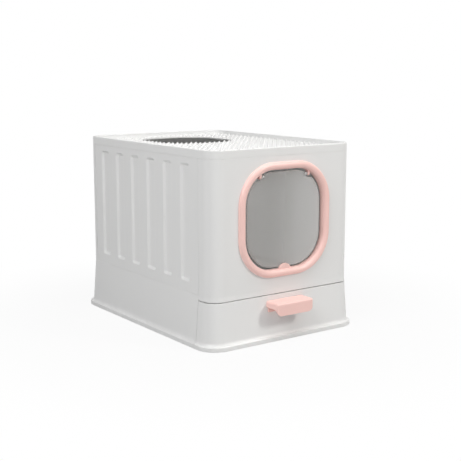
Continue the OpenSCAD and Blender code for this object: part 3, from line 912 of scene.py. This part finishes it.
prism(floor_plan, upright, floor_z, floor_top, 0, base)
for side in (-1, 1):
    low_x = side * half_w / 2 - block_w / 2
    prism(rectangle(low_x, pan_high.y + MM, low_x + block_w, mid_y + half_d),
          upright, floor_top - slack, floor_top + block_h, 0.8 * MM, base)

pad_low, pad_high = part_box("foot_pads")
pad_r = 14 * MM
pad_boss_r = pad_r + 3 * MM
pad_sites = [(x * (pad_high.x - pad_r), y) for x in (-1, 1) for y in (pad_low.y + pad_r, pad_high.y - pad_r)]


def circle(steps):
    """Points round a circle of radius 1."""
    return [(math.cos(math.tau * k / steps), math.sin(math.tau * k / steps)) for k in range(steps)]


def disc(x, y, r, steps=40):
    """Points round a circle at (x, y)."""
    return [(x + r * c, y + r * s) for c, s in circle(steps)]


for x, y in pad_sites:
    prism(disc(x, y, pad_boss_r), upright, pad_high.z, floor_z + slack, 0.6 * MM, base)
build(base, "base_shell", "housing", "white_shell", ["base_frame"])

# %% Fascia
front_top = fascia_high.z
fascia_profile = rounded(skirt_face(front_top) + skirt_back(front_top))
fascia = sweep(front_path(fascia_high.y), fascia_profile, closed=False)
head_r = 3 * MM
boss_r = 4.5 * MM
tray_screws_low, tray_screws_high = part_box("tray_screws")
tray_screw_x = tray_screws_high.x - head_r
tray_screw_z = (tray_screws_low.z + head_r, tray_screws_high.z - head_r)
for side in (-1, 1):
    for z in tray_screw_z:
        prism(disc(side * tray_screw_x, z, boss_r), lambda x, z, y: (x, y, z),
              front_y - outset(z) + MM, pan_low.y - slack, 0.4 * MM, fascia)
build(fascia, "drawer_fascia", "drawer", "white_shell", ["drawer_front"])

# %% [markdown]
# ## Door ring
# The ring is a round bead in front of the wall, and a thin sleeve through it. Two lugs hang from its upper
# arcs and carry the flap, and a half-moon stands on its lower edge to stop the flap. The bead is a swept
# half ellipse whose height is raised to a power just under 1, which makes it a little fuller. Behind the
# wall a flat ring on the same path clamps it.

# %% Door ring
sleeve_depth = 9 * MM
bead_power = 0.9
bead_turns = [math.pi * k / 20 for k in range(21)]
bead = [(bead_w / 2 * (1 - math.cos(t)), bead_out * math.sin(t) ** bead_power) for t in bead_turns]
ring_profile = [(0, -sleeve_depth)] + bead + [(sleeve_t, 0), (sleeve_t, -sleeve_depth)]
ring = sweep(door_path(), ring_profile, on_door)

flap_y = (flap_low.y + flap_high.y) / 2
hinge_inset = 37.5 * MM
hinge_drop = 8.5 * MM
hinge_x = door_half_w - hinge_inset
hinge_z = flap_high.z - hinge_drop
knuckle_r = 4 * MM
lug_up = 7.4 * MM
lug_half = 2.5 * MM


def across(side, x):
    """Places outlines drawn in the hinge's side view at x on one side."""
    return lambda y, z, out: (side * (x + out), flap_y + y, hinge_z + z)


half_turn = [math.radians(a) for a in range(0, 181, 15)]
lug = [(-knuckle_r * math.cos(a), -knuckle_r * math.sin(a)) for a in half_turn]
lug = [(-knuckle_r, lug_up)] + lug + [(knuckle_r, lug_up)]
for side in (-1, 1):
    prism(lug, across(side, hinge_x), -lug_half, lug_half, 0.5 * MM, ring)

moon_half = 15 * MM
moon_h = 10 * MM
moon_root = 1.2 * MM
moon_back, moon_front = 1.7 * MM, 6.7 * MM
moon_r = (moon_half ** 2 + moon_h ** 2) / (2 * moon_h)
moon_turn = math.asin(moon_half / moon_r)
moon = [(moon_r * math.sin(a), moon_h - moon_r + moon_r * math.cos(a))
        for a in (moon_turn * (1 - k / 12) for k in range(25))]
moon = [(moon_half, -moon_root)] + moon + [(-moon_half, -moon_root)]
prism(moon, lambda x, z, ahead: (x, flap_y - ahead, door_z - door_half_h + z),
      moon_back, moon_front, 1.2 * MM, ring)
build(ring, "door_ring_bead", "housing", "pink_trim", ["door_ring"], 40)

# %% Clamp ring
clamp_back = -wall - 2.7 * MM
clamp_profile = rounded([
    (sleeve_t + slack, -wall - slack, 0),
    (bead_w, -wall - slack, 0),
    (bead_w, clamp_back, 0.8 * MM),
    (sleeve_t + slack, clamp_back, 0.5 * MM),
])
clamp = sweep(door_path(), clamp_profile, on_door)
build(clamp, "clamp_ring", "housing", "white_shell", ["door_clamp_ring"])

# %% [markdown]
# ## Flap
# The flap is a clear sheet cut to the door's shape, with its upper corners cut back past the hinge lugs and
# a knuckle at each side. Its outline keeps the points of the full rounded shape and swaps those in the
# corners for two steps. Its cut edge gets a painted glow, a whiter colour with some emission, for light
# that travels in a clear sheet and comes out there.

# %% Flap
flap_t = 2.4 * MM
flap_r = 63 * MM
step_x = hinge_x - 3 * MM
step_z = hinge_z - 6.7 * MM
cut_edge = 0.5 * MM
pin_hole_r = 1.55 * MM
knuckle_w = 7 * MM
knuckle_x = hinge_x - 10 * MM


def with_normals(points):
    """Rows (a, b, normal a, normal b) for a closed anticlockwise outline."""
    rows = []
    for i, here in enumerate(points):
        before = (Vector(here) - Vector(points[i - 1])).normalized()
        after = (Vector(points[(i + 1) % len(points)]) - Vector(here)).normalized()
        out = Vector((before.y + after.y, -before.x - after.x))
        out *= 2 / out.length_squared
        rows.append((*here, out.x, out.y))
    return rows


flap_half_h = (flap_high.z - flap_low.z) / 2
full = round_path(flap_high.x, flap_half_h, flap_r, 0, (flap_high.z + flap_low.z) / 2, 40)
right_low = [(x, z) for x, z, _, _ in full if x > 0 and z <= step_z]
right_top = [(x, z) for x, z, _, _ in full if 0 < x < step_x and z > step_z]
inner_corner, outer_corner = (step_x, step_z), (step_x, right_top[0][1] - 0.3 * MM)
right_half = right_low + [inner_corner, outer_corner] + right_top
left_half = [(-x, z) for x, z in reversed(right_half)]
outline = with_normals(right_half + left_half)
flap_profile = [(-cut_edge, -flap_t / 2), (0, cut_edge - flap_t / 2),
                (0, flap_t / 2 - cut_edge), (-cut_edge, flap_t / 2)]
flap = bmesh.new()
rings = offset_rings(flap, outline, flap_profile, lambda x, z, y: (x, flap_y + y, z))
# The sheet's rim faces take the second finish, the cut edge's painted glow.
for face in flap.faces:
    face.material_index = 1
flap.faces.new(rings[0])
flap.faces.new(rings[-1])
knuckle = rounded([
    (pin_hole_r, 0, 0.2 * MM),
    (knuckle_r, 0, 0.5 * MM),
    (knuckle_r, knuckle_w, 0.5 * MM),
    (pin_hole_r, knuckle_w, 0.2 * MM),
])
turn = [(0, 0, c, s) for c, s in circle(32)]
for side in (-1, 1):
    def on_pin(row, out, along):
        return (side * (knuckle_x + along), flap_y + row[2] * out, hinge_z + row[3] * out)

    sweep(turn, knuckle, on_pin, True, flap)
build(flap, "flap_sheet", "flap", "clear_flap", ["flap"])

# %% [markdown]
# ## Drawer handle
# The handle is a cup: a top plate that turns down into a lip in front and into short cheeks at the ends. All
# of it is one wall whose lower edge changes along the way, so it is swept along a U in plan, and a smooth
# step function lets the edge climb from the lip to the cheek. A back plate inside carries its screws.

# %% Handle
handle_wall = 3 * MM
lip_z = handle_low.z
cheek_z = handle_high.z - 12.5 * MM
back_z = handle_high.z - 22 * MM
crown = 4.5 * MM
cove = 1.9 * MM
plan_r = 5 * MM
cheek_start = 12 * MM
climb_length = 22 * MM
cheek_steps = 26
lip_steps = 20
end_gap = 3 * MM
soft = 0.5 * MM
handle_x = handle_high.x
handle_y = handle_low.y


def fascia_y(z):
    """Where the handle meets the fascia at height z."""
    return front_y - outset(z) - slack


def handle_rows():
    """Rows round the handle in plan, left rear to right rear. Its ends follow the fascia and have no y."""
    left = [(-handle_x, None, -1, 0)]
    cheek_d = fascia_y(handle_high.z) - handle_y - plan_r - end_gap
    for k in range(cheek_steps):
        left.append((-handle_x, handle_y + plan_r + cheek_d * (1 - k / cheek_steps), -1, 0))
    left += corner_rows(-handle_x + plan_r, handle_y + plan_r, plan_r, 180, 10)
    straight = handle_x - plan_r
    left += [(straight * (k / lip_steps - 1), handle_y, 0, -1) for k in range(1, lip_steps)]
    return left + [(0, handle_y, 0, -1)] + [(-x, y, -nx, ny) for x, y, nx, ny in reversed(left)]


def lower_edge(row):
    """Height of the wall's lower edge: low at the lip, and higher along the cheek."""
    x, y, nx, ny = row
    if y is None:
        return cheek_z
    climb = smooth((cheek_start - (handle_x - abs(x)) + y - handle_y) / climb_length)
    return lip_z + (cheek_z - lip_z) * climb


def handle_section(row):
    """Points (out, up) of the wall's section at a row: crown, outer face, lower edge, inner face, cove."""
    edge = lower_edge(row)
    top = handle_high.z
    under = top - handle_wall
    crown_arc = [(-crown + crown * math.sin(a), top - crown + crown * math.cos(a))
                 for a in (math.pi / 2 * k / 6 for k in range(7))]
    cove_arc = [(-handle_wall - cove * (1 - math.cos(a)), under - cove * (1 - math.sin(a)))
                for a in (math.pi / 2 * k / 4 for k in range(5))]
    foot = [(0, edge + soft), (-soft * 0.3, edge + soft * 0.3), (-soft, edge), (-handle_wall, edge)]
    return crown_arc + foot + cove_arc


handle = bmesh.new()
rings = []
for row in handle_rows():
    x, y, nx, ny = row
    ring_points = []
    for out, up in handle_section(row):
        py = fascia_y(up) if y is None else y + ny * out
        ring_points.append(handle.verts.new((x + nx * out, py, up)))
    rings.append(ring_points)
skin(handle, rings, False, False)
handle.faces.new([r[0] for r in rings])
handle.faces.new([r[-1] for r in rings])
handle.faces.new(rings[0] + list(reversed(rings[-1])))
back_plate = rectangle(0, back_z, handle_wall, handle_high.z - MM)
inner_x = handle_x - handle_wall + 0.2 * MM
prism(back_plate, lambda ahead, z, x: (x, fascia_y(z) - ahead, z), -inner_x, inner_x, 0.4 * MM, handle)
build(handle, "handle", "drawer", "pink_trim", ["drawer_handle"], 40)

# %% [markdown]
# ## Litter tray
# The tray is an open pan with rounded corners and a rim. Its section runs from the floor outside, up the
# wall, over the rim and down to the floor inside. The rim stops at the front wall, where the fascia stands.

# %% Tray
tray_rim = 5 * MM
tray_wall = 2.5 * MM
tray_r = 26 * MM
tray_inset = 12 * MM
tray_half_w = pan_high.x - tray_rim
tray_half_d = (pan_high.y - tray_rim - pan_low.y) / 2
tray_y = pan_low.y + tray_half_d
tray_profile = rounded([
    (-tray_inset, pan_low.z, 0),
    (0, pan_low.z, 4 * MM),
    (0, pan_high.z - 4 * MM, 0.5 * MM),
    (tray_rim, pan_high.z - 4 * MM, 0.8 * MM),
    (tray_rim, pan_high.z, 1.5 * MM),
    (-tray_wall, pan_high.z, 1 * MM),
    (-tray_wall, pan_low.z + tray_wall, 5 * MM),
    (-tray_inset, pan_low.z + tray_wall, 0),
])
tray = bmesh.new()
rings = [[tray.verts.new((x + nx * out, max(y + ny * out, pan_low.y), up)) for out, up in tray_profile]
         for x, y, nx, ny in round_path(tray_half_w, tray_half_d, tray_r, 0, tray_y)]
skin(tray, rings, True, False)
tray.faces.new([r[0] for r in rings])
tray.faces.new([r[-1] for r in rings])
build(tray, "tray", "drawer", "grey_inner", ["litter_tray"])

# %% [markdown]
# ## Small nubs on the lid
# Rows of small raised nubs stand between the drain holes and brush litter off the paws. They repeat by a
# rule, so Geometry Nodes set them out: a grid of points, less those off the plate or over the exit hole,
# with one small cone on each.


# %% Node tree helper
class Tree(Graph):
    """A Geometry Nodes tree with named inputs."""

    def __init__(self, name, inputs):
        self.tree = bpy.data.node_groups.new(name, "GeometryNodeTree")
        self.tree.is_modifier = True
        self.sockets = {}
        for label, kind in inputs:
            made = self.tree.interface.new_socket(label, in_out="INPUT", socket_type=kind)
            self.sockets[label] = made.identifier
        self.tree.interface.new_socket("Geometry", in_out="OUTPUT", socket_type="NodeSocketGeometry")
        self.group_in = self.tree.nodes.new("NodeGroupInput")
        self.group_out = self.tree.nodes.new("NodeGroupOutput")

    def given(self, label):
        """The value of a named input."""
        return Value(self, self.group_in.outputs[label])

    def end(self, geometry):
        """Real geometry with the material input on it, as the result."""
        real = self.node("GeometryNodeRealizeInstances", None, {0: geometry})
        finish = self.given("Material")
        done = self.node("GeometryNodeSetMaterial", None, {0: real, "Material": finish})
        self.tree.links.new(done.socket, self.group_out.inputs[0])

    def run(self, points, values):
        """Applies the tree to a mesh of points and returns the plain mesh."""
        start = add_object("points", points)
        modifier = start.modifiers.new("nodes", "NODES")
        modifier.node_group = self.tree
        for label, value in values.items():
            modifier[self.sockets[label]] = value
        mesh = applied(start)
        start.modifiers.remove(modifier)
        bpy.data.objects.remove(start)
        return mesh


FLOAT, GEOMETRY, MATERIAL, VECTOR, OBJECT, INT = (
    f"NodeSocket{kind}" for kind in ("Float", "Geometry", "Material", "Vector", "Object", "Int"))

# %% Nubs
nub_tree = Tree("nubs", [
    ("Geometry", GEOMETRY), ("Material", MATERIAL), ("Spacing X", FLOAT), ("Spacing Y", FLOAT),
    ("Half Width", FLOAT), ("Half Depth", FLOAT), ("Exit Y", FLOAT), ("Exit Half", FLOAT),
    ("Exit Radius", FLOAT), ("Nub Radius", FLOAT), ("Nub Height", FLOAT), ("Columns", INT), ("Rows", INT),
])
given = nub_tree.given
across_lid, along_lid = given("Columns"), given("Rows")
grid = nub_tree.node("GeometryNodeMeshGrid", None, {
    "Size X": given("Spacing X") * (across_lid - 1),
    "Size Y": given("Spacing Y") * (along_lid - 1),
    "Vertices X": across_lid,
    "Vertices Y": along_lid,
})
position = nub_tree.node("GeometryNodeInputPosition")


def part_of(tree, vector, output):
    """One coordinate of a vector."""
    return tree.node("ShaderNodeSeparateXYZ", None, {0: vector}, output)


def round_gap(tree, x, y, half_x, half_y, radius):
    """Distance to the edge of a rectangle with round corners, above 0 outside it."""
    def maths(operation, *values):
        return tree.node("ShaderNodeMath", {"operation": operation}, dict(enumerate(values)))

    dx = maths("ABSOLUTE", x) - half_x + radius
    dy = maths("ABSOLUTE", y) - half_y + radius
    far_x, far_y = maths("MAXIMUM", dx, 0.0), maths("MAXIMUM", dy, 0.0)
    outside = maths("SQRT", far_x * far_x + far_y * far_y)
    inside = maths("MINIMUM", maths("MAXIMUM", dx, dy), 0.0)
    return outside + inside - radius


nub_x, nub_y = part_of(nub_tree, position, 0), part_of(nub_tree, position, 1)
nub_r = given("Nub Radius")
plate_half = [given(label) for label in ("Half Width", "Half Depth")]
hole_y, hole_half, hole_r = (given(label) for label in ("Exit Y", "Exit Half", "Exit Radius"))
off_plate = round_gap(nub_tree, nub_x, nub_y, *plate_half, 0.0)
exit_gap = round_gap(nub_tree, nub_x, nub_y - hole_y, hole_half, hole_half, hole_r)
outside = nub_tree.node("FunctionNodeCompare", {"operation": "GREATER_THAN"}, {0: off_plate, 1: 0.0})
over_exit = nub_tree.node("FunctionNodeCompare", {"operation": "LESS_THAN"}, {0: exit_gap, 1: nub_r})
either = nub_tree.node("FunctionNodeBooleanMath", {"operation": "OR"}, {0: outside, 1: over_exit})
kept = nub_tree.node("GeometryNodeDeleteGeometry", {"domain": "POINT"}, {0: grid, 1: either})
cone = nub_tree.node("GeometryNodeMeshCone", None, {
    "Vertices": 10, "Side Segments": 2, "Radius Top": nub_r * 0.45, "Radius Bottom": nub_r,
    "Depth": given("Nub Height")})
spots = nub_tree.node("GeometryNodeInstanceOnPoints", None, {"Points": kept, "Instance": cone})
nub_tree.end(spots)

exit_half, exit_r = 91 * MM, 70 * MM
exit_to_rear = 37 * MM
exit_y = half_d - wall - exit_to_rear - exit_half
bare_edge = 7 * MM
nub_mesh = nub_tree.run(bpy.data.meshes.new("empty"), {
    "Material": white_plastic, "Spacing X": 12.2 * MM, "Spacing Y": 15.2 * MM,
    "Half Width": half_w - wall - bare_edge, "Half Depth": half_d - wall - bare_edge,
    "Exit Y": exit_y, "Exit Half": exit_half, "Exit Radius": exit_r,
    "Nub Radius": 2.2 * MM, "Nub Height": 4.2 * MM, "Columns": 27, "Rows": 31,
})
nub_mesh.transform(Matrix.Translation((0, mid_y, plate_high.z - slack / 2)))
finish_piece(nub_mesh, "lid_nubs", "lid", "white_shell")

# %% [markdown]
# ## Screws
# Cross-head screws hold the ring, the runners, the tray and the handle. One screw is modelled once: its head
# is a lathed dome with the cross cut out by a Boolean. A node tree sets copies at given points, turns them
# the way they are driven, and spins each by a random angle from a fixed seed, as real screws end up.

# %% One screw
screw_r = 1.5 * MM
head_h = 1.8 * MM
cross_long, cross_narrow = 1.9 * MM, 0.35 * MM
cross_low, cross_high = 0.7 * MM, 3 * MM


def lathe(profile, steps=24):
    """Spins an open profile (radius, height) that starts and ends on the axis."""
    bm = bmesh.new()
    rings = [[bm.verts.new((r * c, r * s, z)) for r, z in profile] for c, s in circle(steps)]
    skin(bm, rings, True, False)
    bmesh.ops.remove_doubles(bm, verts=bm.verts, dist=1e-6)
    return bm


def screw(length):
    """A pan-head screw with its head's underside at the origin and its shank along -Z."""
    shank = [(0, -length), (screw_r * 0.3, -length), (screw_r, -length + 1.2 * MM), (screw_r, 0)]
    head = [(head_r, 0), (head_r, 0.3 * MM), (head_r * 0.97, 0.9 * MM), (head_r * 0.8, 1.45 * MM),
            (head_r * 0.45, head_h), (0, head_h)]
    bm = lathe(shank + head)
    for half_x, half_y in ((cross_long, cross_narrow), (cross_narrow, cross_long)):
        groove = prism(rectangle(-half_x, -half_y, half_x, half_y), upright, cross_low, cross_high)
        bm = cut_away(bm, groove)
    return add_object("screw", as_mesh(bm, "screw"))


# %% Screw tree
screw_tree = Tree("screws", [
    ("Geometry", GEOMETRY), ("Material", MATERIAL), ("Screw", OBJECT), ("Turn", VECTOR), ("Seed", INT)])
pattern = screw_tree.node("GeometryNodeObjectInfo", None, {"Object": screw_tree.given("Screw")}, "Geometry")
spin = screw_tree.node("FunctionNodeRandomValue", {"data_type": "FLOAT"}, {
    "Min": 0.0, "Max": math.tau, "Seed": screw_tree.given("Seed")}, 1)
about_z = screw_tree.node("ShaderNodeCombineXYZ", None, {"Z": spin})
placed = screw_tree.node("GeometryNodeInstanceOnPoints", None, {
    "Points": screw_tree.given("Geometry"), "Instance": pattern, "Rotation": screw_tree.given("Turn")})
spun = screw_tree.node("GeometryNodeRotateInstances", None, {"Instances": placed, "Rotation": about_z})
screw_tree.end(spun)


def screws(spots, length, turn, seed):
    """A mesh of screws at spots, all turned one way."""
    one = screw(length)
    points = bpy.data.meshes.new("spots")
    points.from_pydata(spots, [], [])
    made = screw_tree.run(points, {"Material": steel, "Screw": one, "Turn": turn, "Seed": seed})
    bpy.data.objects.remove(one)
    return made


def joined(meshes):
    """Several meshes as one."""
    bm = bmesh.new()
    for mesh in meshes:
        bm.from_mesh(mesh)
    return as_mesh(bm, "joined")


# %% Screws of the housing and the drawer
UP = (0, 0, 0)
INTO_CABIN = (-math.pi / 2, 0, 0)
clamp_out = (bead_w + sleeve_t) / 2
behind_clamp = front_y - clamp_back + slack
ring_spots = []
for k in range(8):
    a = k * math.pi / 4
    straight = k % 2 == 0
    cx = 0 if straight else math.copysign(door_half_w - door_r, math.cos(a))
    cz = 0 if straight else math.copysign(door_half_h - door_r, math.sin(a))
    reach = (door_half_w if k % 4 == 0 else door_half_h) if straight else door_r
    reach += clamp_out
    ring_spots.append((cx + reach * math.cos(a), behind_clamp, door_z + cz + reach * math.sin(a)))
runner_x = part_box("right_runner")[0].x + 10 * MM
runner_low, runner_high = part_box("runner_screws")
runner_seat_z = 11.2 * MM
runner_spots = [(side * runner_x, y, runner_seat_z) for side in (-1, 1)
                for y in (runner_low.y + head_r, mid_y, runner_high.y - head_r)]
housing_screws = joined([
    screws(ring_spots, length=10 * MM, turn=INTO_CABIN, seed=3),
    screws(runner_spots, length=3.1 * MM, turn=UP, seed=5),
])
finish_piece(housing_screws, "housing_screws", "housing", "steel_fixings",
             ["door_screws", "runner_screws"])

behind_tray_wall = pan_low.y + tray_wall + slack
tray_spots = [(side * tray_screw_x, behind_tray_wall, z) for side in (-1, 1) for z in tray_screw_z]
grip_low, grip_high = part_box("handle_screws")
grip_x, grip_z = grip_high.x - head_r, (grip_low.z + grip_high.z) / 2
grip_spots = [(side * grip_x, grip_high.y - head_h, grip_z) for side in (-1, 1)]
drawer_screws = joined([
    screws(tray_spots, length=7 * MM, turn=INTO_CABIN, seed=7),
    screws(grip_spots, length=5.5 * MM, turn=INTO_CABIN, seed=9),
])
finish_piece(drawer_screws, "drawer_screws", "drawer", "steel_fixings",
             ["tray_screws", "handle_screws"])

# %% [markdown]
# ## Foot pads
# Four rubber pads carry the box. Each is a disc with a soft edge and two shallow grooves underneath. A pad is
# round, so its section is spun round an upright axis, and the pad is then moved to its corner.

# %% Foot pads
groove_h = 0.5 * MM
groove_slope = 0.4 * MM
pads = bmesh.new()
pad_profile = [(0, 0)]
for start in (5 * MM, 9.6 * MM):
    end = start + 1.6 * MM
    pad_profile += [(start, 0), (start + groove_slope, groove_h), (end - groove_slope, groove_h), (end, 0)]
pad_profile += [(pad_r - 0.7 * MM, 0), (pad_r - 0.2 * MM, 0.2 * MM), (pad_r, 0.7 * MM),
                (pad_r, pad_high.z), (0, pad_high.z)]
for x, y in pad_sites:
    pad = lathe(pad_profile, 40)
    bmesh.ops.translate(pad, verts=pad.verts, vec=(x, y, 0))
    merged(pads, pad)
build(pads, "rubber_feet", "housing", "rubber_pads", ["foot_pads"])

# %% [markdown]
# ## CAD pieces that stay
# The perforated plate, the runners and the flap's pins have the right shape already, so they only get their
# finish.

# %% Finish on CAD pieces
kept_nodes = {
    "lid_grid": "white_shell",
    "left_runner": "grey_inner",
    "right_runner": "grey_inner",
    "flap_pins": "steel_fixings",
}
for node, slot in kept_nodes.items():
    coat(frame["nodes"][node].data, slot)
print("finished CAD nodes:", list(kept_nodes))
